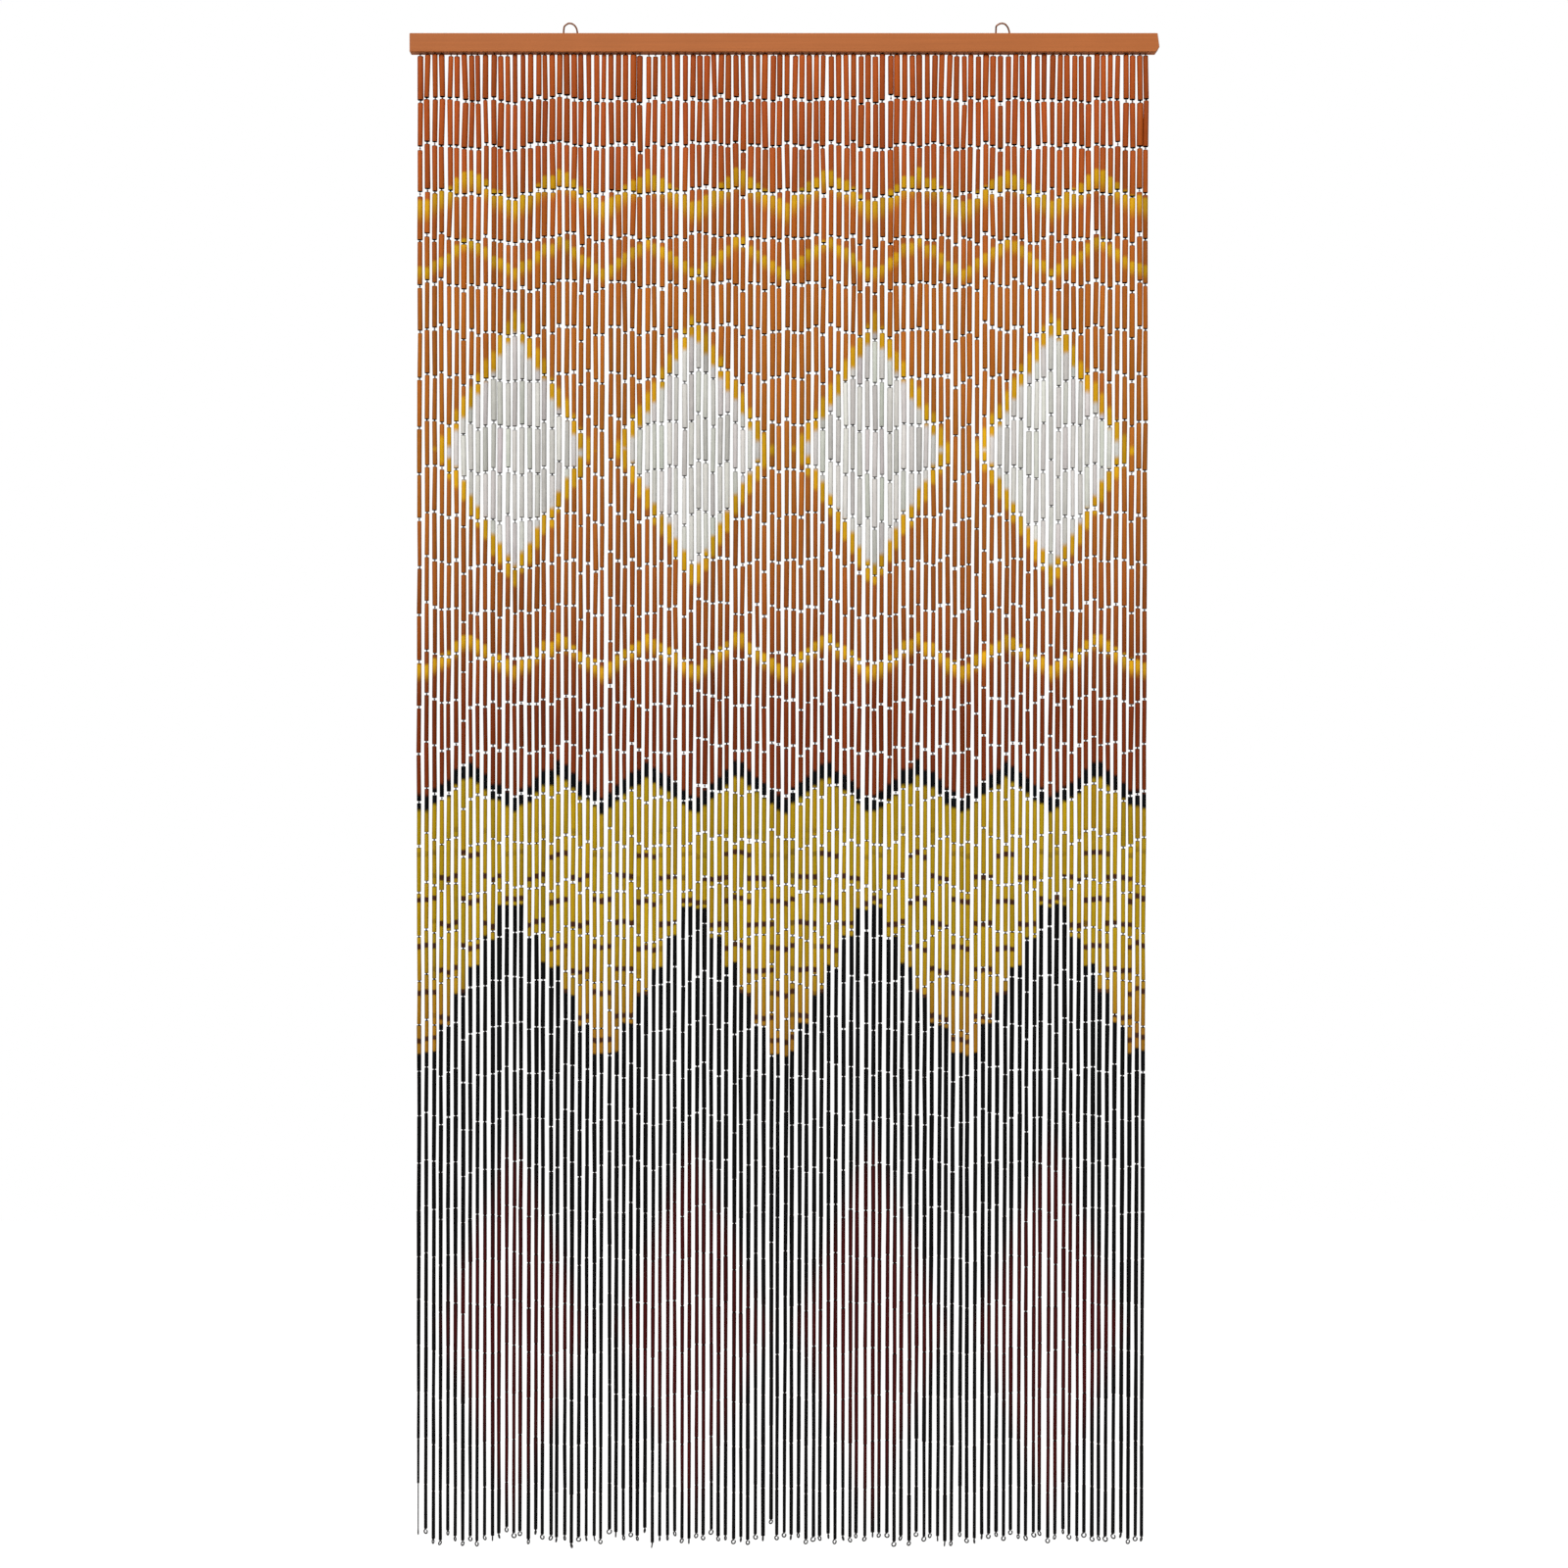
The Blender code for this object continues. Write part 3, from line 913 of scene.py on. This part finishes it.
    def build(self, material: bpy.types.Material) -> list[bpy.types.Object]:
        """Make the tubes as a few joined meshes, each of neighbouring strands.

        Args:
            material: The bamboo's finish.

        Returns:
            The meshes.
        """
        across = np.broadcast_to(self.hang.row[:, None], self.tone.shape)
        told = {"across": across, "tone": self.tone, "warmth": self.warmth, "paint_shift": self.shift}
        forms = (self.along(self.tops), self.along(self.bottoms), self.radius, self.shape)
        worn = np.ones(self.tone.shape, bool)
        worn[0, -1] = False
        # Which rows of points are near black, as raw saw-cut ends with painted shade in the bore, and where
        # the rows of faces meet in a cell of the texture
        raw_and_shaded_rows = np.array([1.0, 1.0, 0.0, 0.0, 1.0, 1.0])
        row_lines = np.array([0.02, 0.06, 0.10, 0.88, 0.92, 0.96, 1.0])
        pieces = []
        for k, strands in enumerate(np.array_split(np.arange(self.hang.count), self.groups)):
            kept = worn[strands]
            points = self.surface(*(form[strands][kept] for form in forms))
            copies, rows, sides = points.shape[:3]
            values = {name: np.repeat(v[strands][kept], rows * sides) for name, v in told.items()}
            values["cut_end_and_bore_shade"] = np.tile(np.repeat(raw_and_shaded_rows, sides), copies)
            faces = grid_faces(copies, rows, sides, wrap_rows=True)
            uv = grid_uv(copies, sides, row_lines, self.cell_shape)
            name = f"bamboo_tubes_{k + 1:02d}"
            pieces.append(put_mesh(name, points.reshape(-1, 3), [faces], material, uv, values))
        return pieces


def raised(points: np.ndarray, rise: float | np.ndarray) -> np.ndarray:
    """Points moved straight up, all by one rise or each by its own."""
    return points + np.array([0.0, 0.0, 1.0]) * np.reshape(rise, (-1, 1))


def sweep(
    path: np.ndarray, radius: float | np.ndarray, sides: int, ends: float
) -> tuple[np.ndarray, list[np.ndarray]]:
    """Carry a round section along many like paths.

    A point is the path's point plus the radius turned about its direction. The section's own direction is
    carried from each point to the next with as little twist as can be, and both ends are closed.

    Args:
        path: Centre lines, copies by points by 3.
        radius: The section's radius, one for all or one for each point of a path.
        sides: Corners of the section.
        ends: Share of the radius at the two end points.

    Returns:
        The points, and arrays of quads and end faces.
    """
    copies, count = path.shape[:2]
    along = unit(np.gradient(path, axis=1))
    least = np.eye(3)[np.argmin(np.abs(along[:, 0]), axis=-1)]
    normal = np.empty_like(path)
    normal[:, 0] = unit(np.cross(along[:, 0], least))
    for k in range(1, count):
        carried = normal[:, k - 1]
        normal[:, k] = unit(carried - (carried * along[:, k]).sum(-1, keepdims=True) * along[:, k])
    across = np.cross(along, normal)
    turn = 2 * math.pi * np.arange(sides) / sides
    thick = np.ones(count) * radius
    thick[[0, -1]] *= ends
    ring = np.cos(turn)[:, None] * normal[:, :, None] + np.sin(turn)[:, None] * across[:, :, None]
    points = path[:, :, None] + ring * thick[None, :, None, None]
    first = np.arange(copies)[:, None] * count * sides
    near = first + np.arange(sides)[None, :]
    far = first + (count - 1) * sides + np.arange(sides)[None, ::-1]
    return points.reshape(-1, 3), [grid_faces(copies, count, sides, wrap_rows=False), near, far]


@dataclass
class Links:
    """The wire links: one through each tube, with an eye at both ends, hooked into the next link's eye."""

    tubes: Tubes
    # Radii of the wire, and of an eye at the wire's centre line
    wire: float = 0.00045
    shank: float = 0.00080
    foot_wire: float = 0.00095
    eye: float = 0.00095
    eye_arc: tuple[float, float] = (-52.0, 270.0)
    # The ring's radius, how far it spreads, and how far a ring leans
    ring: float = 0.00265
    ring_spread: float = 0.00022
    ring_tilt: float = 0.22
    root_rise: float = 0.0030
    pin_neck: float = 1.6
    foot_neck: float = 2.19 * MM
    foot_bare: float = 0.10
    tip: float = 0.8
    hidden_sides: int = 4
    shown_sides: int = 6
    eye_steps: int = 7
    foot_eye_steps: int = 9
    ring_steps: int = 18
    sharp: float = 95.0
    # Where a wire's side and its end faces lie in its cell of the texture
    cell_shape: float = 5.0
    side_span: tuple[float, float] = (0.02, 0.94)
    cap_span: tuple[float, float] = (0.2, 0.8)
    cap_rows: tuple[float, float] = (0.985, 0.97)
    groups: int = 4
    seed: int = 21

    def __post_init__(self) -> None:
        """Draw the planes of the eyes, and the rings' lean and size."""
        rng = np.random.default_rng(self.seed)
        strands, joints = self.tubes.joints.shape
        self.turn = rng.uniform(0.0, math.pi, (strands, joints + 1))
        self.turn[:, -1] = self.tubes.hang.turns
        self.tilt = rng.normal(0.0, self.ring_tilt, (strands, 2))
        self.rings = self.ring + self.ring_spread * rng.uniform(-1.0, 1.0, strands)
        self.hook = self.eye - self.wire

    def eye_path(
        self, centre: np.ndarray, turn: np.ndarray, radius: float | np.ndarray, steps: int, down: float
    ) -> np.ndarray:
        """An open circle that starts beside its shank and comes back to it.

        The angle runs from just past the shank's side right round, in an upright plane turned about the
        vertical.

        Args:
            centre: Centres, copies by 3.
            turn: The planes' turn about the vertical.
            radius: The circle's radius at the wire's centre line.
            steps: Points on the circle.
            down: 1 where the shank leaves downwards, and -1 where it leaves upwards.

        Returns:
            Points, copies by steps by 3, the shank's end last.
        """
        angle = np.linspace(*np.radians(self.eye_arc), steps)
        level = np.stack([np.cos(turn), np.sin(turn), np.zeros_like(turn)], axis=-1)
        out = np.cos(angle)[None, :, None] * level[:, None] * radius
        rise = np.sin(angle)[None, :, None] * np.array([0.0, 0.0, down]) * radius
        return centre[:, None] + out + rise

    def hidden_links(self) -> np.ndarray:
        """The links but the lowest of each strand: an eye hooked upwards, then one hooked downwards.

        Returns:
            Centre lines, copies by points by 3.
        """
        nodes = self.tubes.nodes
        upper, lower = nodes[:, :-2].reshape(-1, 3), nodes[:, 1:-1].reshape(-1, 3)
        turn_up = self.turn[:, :-2].reshape(-1) + math.pi / 2
        turn_low = self.turn[:, 1:-1].reshape(-1)
        start = self.eye_path(raised(upper, -self.hook), turn_up, self.eye, self.eye_steps, 1.0)
        end = self.eye_path(raised(lower, self.hook), turn_low, self.eye, self.eye_steps, -1.0)
        return np.concatenate([start, end[:, ::-1]], axis=1)

    def root_pins(self) -> np.ndarray:
        """The pins in the root strip: straight, then an eye that carries the strand's first link.

        Returns:
            Centre lines, copies by points by 3.
        """
        nodes = self.tubes.nodes[:, 0]
        eye = self.eye_path(raised(nodes, self.hook), self.turn[:, 0], self.eye, self.eye_steps, -1.0)
        top = nodes.copy()
        top[:, 2] = self.tubes.hang.rail_bottom + self.root_rise
        near = raised(nodes, self.hook + self.pin_neck * self.eye)
        return np.concatenate([top[:, None], near[:, None], eye[:, ::-1]], axis=1)

    def foot_links(self) -> np.ndarray:
        """The lowest links: an eye, a shank, and the ring that shows, which leans more the lower it is.

        Returns:
            Centre lines, copies by points by 3.
        """
        upper, lower = self.tubes.nodes[:, -2], self.tubes.nodes[:, -1]
        turn_up = self.turn[:, -2] + math.pi / 2
        start = self.eye_path(raised(upper, -self.hook), turn_up, self.eye, self.foot_eye_steps, 1.0)
        foot = raised(lower, self.rings + self.foot_wire)
        lean = np.concatenate([self.tilt, np.zeros((len(foot), 1))], axis=1) * self.ring
        ring = self.eye_path(foot, self.turn[:, -1], self.rings[:, None, None], self.ring_steps, -1.0)
        fall = (foot[:, None, 2] + self.ring - ring[..., 2]) / (2 * self.ring)
        ring = ring + lean[:, None] * fall[..., None]
        neck = raised(lower, 2 * self.rings + self.foot_neck)
        return np.concatenate([start, neck[:, None], ring[:, ::-1]], axis=1)

    def piece(
        self,
        name: str,
        path: np.ndarray,
        wire: float | np.ndarray,
        sides: int,
        material: bpy.types.Material,
        bare: float = 0.0,
    ) -> bpy.types.Object:
        """Make one mesh of many wires, each with its own cell of the texture and its end faces at the top.

        Args:
            name: The mesh's name.
            path: Centre lines, copies by points by 3.
            wire: The wire's radius, one for all or one for each point.
            sides: Corners of the wire's section.
            material: The wire's finish.
            bare: 1 where no paint reached the wire, and 0 where it may have.

        Returns:
            The new object.
        """
        points, faces = sweep(path, wire, sides, self.tip)
        copies, count = path.shape[:2]
        # A wire's side fills its cell to near the top, and both end faces share the narrow place above it
        side_uv = grid_uv(copies, sides, np.linspace(*self.side_span, count), self.cell_shape)
        corner, size = cells(copies, self.cell_shape)
        cap = np.stack([np.linspace(*self.cap_span, sides), np.resize(self.cap_rows, sides)], axis=-1)
        caps = (corner[:, None] + cap[None] * size).reshape(-1, 2)
        across = np.repeat(path[:, :, 0].mean(axis=1), count * sides)
        values = {"bare": np.full(len(points), bare), "across": across}
        uv = np.concatenate([side_uv, caps, caps])
        return put_mesh(name, points, faces, material, uv, values, self.sharp)

    def build(self, material: bpy.types.Material) -> list[bpy.types.Object]:
        """Make the links, the root pins and the foot rings.

        Args:
            material: The wire's finish.

        Returns:
            The meshes.
        """
        pieces = []
        for k, path in enumerate(np.array_split(self.hidden_links(), self.groups)):
            pieces.append(self.piece(f"wire_links_{k + 1}", path, self.wire, self.hidden_sides, material))
        pieces.append(self.piece("root_pins", self.root_pins(), self.wire, self.shown_sides, material))
        foot = self.foot_links()
        steps = self.foot_eye_steps + np.array([-2, -1, 0, 1])
        radii = (self.wire, self.shank, self.shank, self.foot_wire)
        thick = np.interp(np.arange(foot.shape[1]), steps, radii)
        rings = self.piece("foot_rings", foot, thick, self.shown_sides, material, self.foot_bare)
        pieces.append(rings)
        return pieces


@dataclass
class RootStrip:
    """The narrow wooden strip in the rail's groove that holds the upper ends of the wires."""

    rail_bottom: float
    centre: float = -0.0010
    length: float = 0.97969
    depth: float = 0.0050
    height: float = 0.0034
    gap: float = 0.0003
    stations: int = 60
    corner: float = 0.0005

    def build(self, material: bpy.types.Material) -> bpy.types.Object:
        """Make the strip as one section with eased corners, carried along X and closed at both ends.

        Args:
            material: The painted wood.

        Returns:
            The strip.
        """
        half = np.array([self.depth, self.height]) / 2
        turn = np.radians([0, 45, 90, 90, 135, 180, 180, 225, 270, 270, 315, 360])
        toward = np.repeat([[1, 1], [-1, 1], [-1, -1], [1, -1]], 3, axis=0)
        eased = self.corner * np.stack([np.cos(turn), np.sin(turn)], axis=-1)
        outline = toward * (half - self.corner) + eased
        count = len(outline)
        points = np.zeros((self.stations, count, 3))
        points[..., 0] = self.centre + self.length * np.linspace(-0.5, 0.5, self.stations)[:, None]
        points[..., 1:] = outline + np.array([0.0, self.rail_bottom + self.gap + half[1]])
        near = np.arange(count)[None, ::-1]
        far = (self.stations - 1) * count + np.arange(count)[None, :]
        faces = [grid_faces(1, self.stations, count, wrap_rows=False)[:, ::-1], near, far]
        return put_mesh("root_strip", points.reshape(-1, 3), faces, material)


@dataclass
class Rail:
    """The painted batten, a merged and smoothly shaded copy of its node."""

    node: str = "header_rail"
    merge: float = 0.01 * MM
    flat_angle: float = 1.0
    smooth: float = 38.0

    def build(self, material: bpy.types.Material) -> bpy.types.Object:
        """Copy the node's mesh, merge its triangles, and shade its eased edges smooth and its sides flat.

        Args:
            material: The painted wood.

        Returns:
            The rail.
        """
        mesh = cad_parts[self.node].data.copy()
        bm = bmesh.new()
        bm.from_mesh(mesh)
        bmesh.ops.remove_doubles(bm, verts=bm.verts, dist=self.merge)
        flat_angle = math.radians(self.flat_angle)
        bmesh.ops.dissolve_limit(bm, angle_limit=flat_angle, verts=bm.verts, edges=bm.edges)
        bm.to_mesh(mesh)
        bm.free()
        mesh.materials.clear()
        mesh.materials.append(material)
        mesh.shade_smooth()
        mesh.set_sharp_from_angle(angle=math.radians(self.smooth))
        rail = bpy.data.objects.new("painted_rail", mesh)
        bpy.context.scene.collection.objects.link(rail)
        rail.modifiers.new("flat_faces", "WEIGHTED_NORMAL").keep_sharp = True
        solved = rail.evaluated_get(bpy.context.evaluated_depsgraph_get())
        weighted = bpy.data.meshes.new_from_object(solved)
        rail.modifiers.clear()
        rail.data = weighted
        return rail


@dataclass
class HangingEye:
    """One hooped wire: two legs in the rail and a crown of two uneven quarters of an ellipse."""

    side: str
    rail_top: float
    place: float
    half_width: float
    crown_shift: float
    legs: tuple[float, float]
    rise: float = 0.015
    leg_depth: float = 0.010
    wire: float = 0.00115
    quarter: int = 18
    sides: int = 14
    # The kinks are a fine wave across, and less front to back, which fades in above the rail
    kink: float = 0.00022
    kink_run: float = 0.0021
    kink_turn: float = 900.0
    kink_start: float = 0.004
    kink_depth: float = 0.8
    leg_steps: tuple[float, ...] = (0.0, 0.35, 0.7, 0.92)
    bare: tuple[float, float] = (0.05, 0.28)
    tip: float = 0.85
    sharp: float = 70.0

    def route(self) -> np.ndarray:
        """The centre line: a leg, two quarters of an ellipse with slight kinks, and a leg.

        A quarter's point is the crown's place, plus the half width on its side times the cosine, and the
        leg's height plus the rest of the rise times the sine.

        Returns:
            Points, 1 by points by 3.
        """
        turn = np.linspace(0.0, math.pi / 2, self.quarter)
        steps = np.array(self.leg_steps)
        halves = []
        for side, leg in zip((-1.0, 1.0), self.legs):
            across = self.crown_shift + (side * self.half_width - self.crown_shift) * np.cos(turn)
            height = leg + (self.rise - leg) * np.sin(turn)
            x = np.concatenate([np.full(len(steps), side * self.half_width), across])
            halves.append((x, np.concatenate([steps * (leg + self.leg_depth) - self.leg_depth, height])))
        x, z = (np.concatenate([left, right[-2::-1]]) for left, right in zip(*halves))
        above = np.clip(z / self.kink_start, 0.0, 1.0)
        bend = self.kink * np.sin(z / self.kink_run + self.kink_turn * x) * above
        line = [self.place + x + bend, self.kink_depth * bend, self.rail_top + z]
        return np.stack(line, axis=-1)[None]

    def build(self, material: bpy.types.Material) -> bpy.types.Object:
        """Make the wire, barer towards its crown.

        Args:
            material: The wire's finish.

        Returns:
            The eye.
        """
        points, faces = sweep(self.route(), self.wire, self.sides, self.tip)
        full_height, most = self.bare
        values = {"bare": np.clip((points[:, 2] - self.rail_top) / full_height, 0.0, most)}
        return put_mesh(f"{self.side}_eye_wire", points, faces, material, None, values, self.sharp)


@dataclass
class Studio:
    """A pale floor under the hung curtain, white surroundings and soft light from front and back."""

    lens: float = 56.7
    sensor: float = 36.0
    distance: float = 3.30
    aim: tuple[float, float] = (-0.0007, -1.0153)
    view_depth: float = 50.0
    floor_z: float = -2.062
    floor_half: float = 2.6
    floor_cloud: float = 333.3 * MM
    floor_glow: float = 1.15
    floor_roughness: float = 0.9
    lift: float = 0.92
    # Each light's azimuth, height, spread and strength
    key: tuple[float, float, float, float] = (-10.0, 42.0, 26.0, 3.35)
    back: tuple[float, float, float, float] = (180.0, 35.0, 30.0, 0.9)
    ambient: float = 0.20

    def place(self, name: str, data: bpy.types.ID, turn: tuple[float, float, float]) -> bpy.types.Object:
        """Link a camera or a light to the scene.

        Args:
            name: Its name.
            data: The camera's or the light's own data.
            turn: Its turn about X, Y and Z in degrees.

        Returns:
            The new object.
        """
        thing = bpy.data.objects.new(name, data)
        thing.rotation_euler = np.radians(turn)
        bpy.context.scene.collection.objects.link(thing)
        return thing

    def camera(self) -> None:
        """Put a level camera straight in front, at the height of the picture's middle."""
        data = bpy.data.cameras.new("camera")
        data.lens = self.lens
        data.sensor_width = self.sensor
        data.clip_end = self.view_depth
        camera = self.place("camera", data, (90.0, 0.0, 0.0))
        camera.location = (self.aim[0], -self.distance, self.aim[1])
        bpy.context.scene.camera = camera

    def light(self, name: str, azimuth: float, height: float, spread: float, strength: float) -> None:
        """Put up one far soft light.

        Args:
            name: The light's name.
            azimuth: Degrees from straight in front, positive to the right.
            height: Degrees above level.
            spread: The angle that the light fills, in degrees.
            strength: Its strength in watts per square metre.
        """
        data = bpy.data.lights.new(name, "SUN")
        data.angle = math.radians(spread)
        data.energy = strength
        self.place(name, data, (90.0 - height, 0.0, azimuth))

    def floor(self) -> None:
        """Lay a flat pale floor, matt and faintly mottled, lifted towards white as over a lit table."""
        # Matt white paint on board scatters the light evenly, so nothing of it shows but faint clouds.
        material, g, place = new_material("matt_painted_board")
        cloud = g.add("TexNoise", place, Scale=1 / self.floor_cloud, Detail=3.0)
        colour = g.add("Mix", cloud, Paint.FLOOR.rgba, Paint.FLOOR_CLOUD.rgba, **BLEND)
        matt = g.add("BsdfPrincipled", Base_Color=colour, Roughness=self.floor_roughness)
        glow = g.add("Emission", colour, self.floor_glow)
        seen = g.add("Math", g.add("LightPath", out="Is Camera Ray"), self.lift, operation="MULTIPLY")
        g.add("OutputMaterial", g.add("MixShader", seen, matt, glow))
        h, z = self.floor_half, self.floor_z
        points = np.array([(-h, -h, z), (h, -h, z), (h, h, z), (-h, h, z)])
        put_mesh("floor", points, [np.array([[0, 1, 2, 3]])], material)

    def surroundings(self) -> None:
        """Make the world white to the camera, and a dimmer white as light on the curtain."""
        world = bpy.data.worlds.new("studio")
        bpy.context.scene.world = world
        world.use_nodes = True
        g = Graph(world.node_tree)
        seen = g.add("LightPath", out="Is Camera Ray")
        strength = g.add("Math", seen, 1.0 - self.ambient, self.ambient, operation="MULTIPLY_ADD")
        g.add("OutputWorld", g.add("Background", (1.0, 1.0, 1.0, 1.0), strength))
        bpy.context.scene.view_settings.view_transform = "Standard"

    def build(self) -> None:
        """Set up the camera, the lights, the floor and the surroundings."""
        self.camera()
        self.light("key", *self.key)
        self.light("back", *self.back)
        self.floor()
        self.surroundings()


def main() -> None:
    """Build the curtain's pieces in order."""
    logging.basicConfig(level=logging.INFO, format="%(message)s")
    rail_low, rail_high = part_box("header_rail")
    rail_bottom, rail_top = float(rail_low.z), float(rail_high.z)

    paint = BandDesign(rail_bottom).group()
    bamboo = PaintedBamboo().build(paint)
    wire = PaintedWire("oversprayed_steel_wire", Paint.STEEL, Paint.OXIDE).build(paint)
    eye_finish = PaintedWire("rail_paint_over_steel_wire", Paint.EYE_STEEL, Paint.EYE_OXIDE, Paint.EYE)
    eye_wire = eye_finish.build(paint)
    wood = PaintedWood().build()

    hand_over(Rail().build(wood), Slot.RAIL, "header_rail")
    left = HangingEye(
        "left", rail_top, place=-0.2860, half_width=0.0092, crown_shift=-0.0010, legs=(0.0060, 0.0030)
    )
    right = HangingEye(
        "right", rail_top, place=0.2915, half_width=0.0091, crown_shift=-0.0006, legs=(0.0085, 0.0005)
    )
    for eye in (left, right):
        hand_over(eye.build(eye_wire), Slot.WIRE, f"hanging_eye_{eye.side}")

    tubes = Tubes(Hang(rail_bottom))
    hand_over(RootStrip(rail_bottom).build(wood), Slot.RAIL, "bamboo_strands")
    for piece in tubes.build(bamboo):
        hand_over(piece, Slot.BAMBOO, "bamboo_strands")
    for piece in Links(tubes).build(wire):
        hand_over(piece, Slot.WIRE, "bamboo_strands")

    Studio().build()


if __name__ == "__main__":
    main()
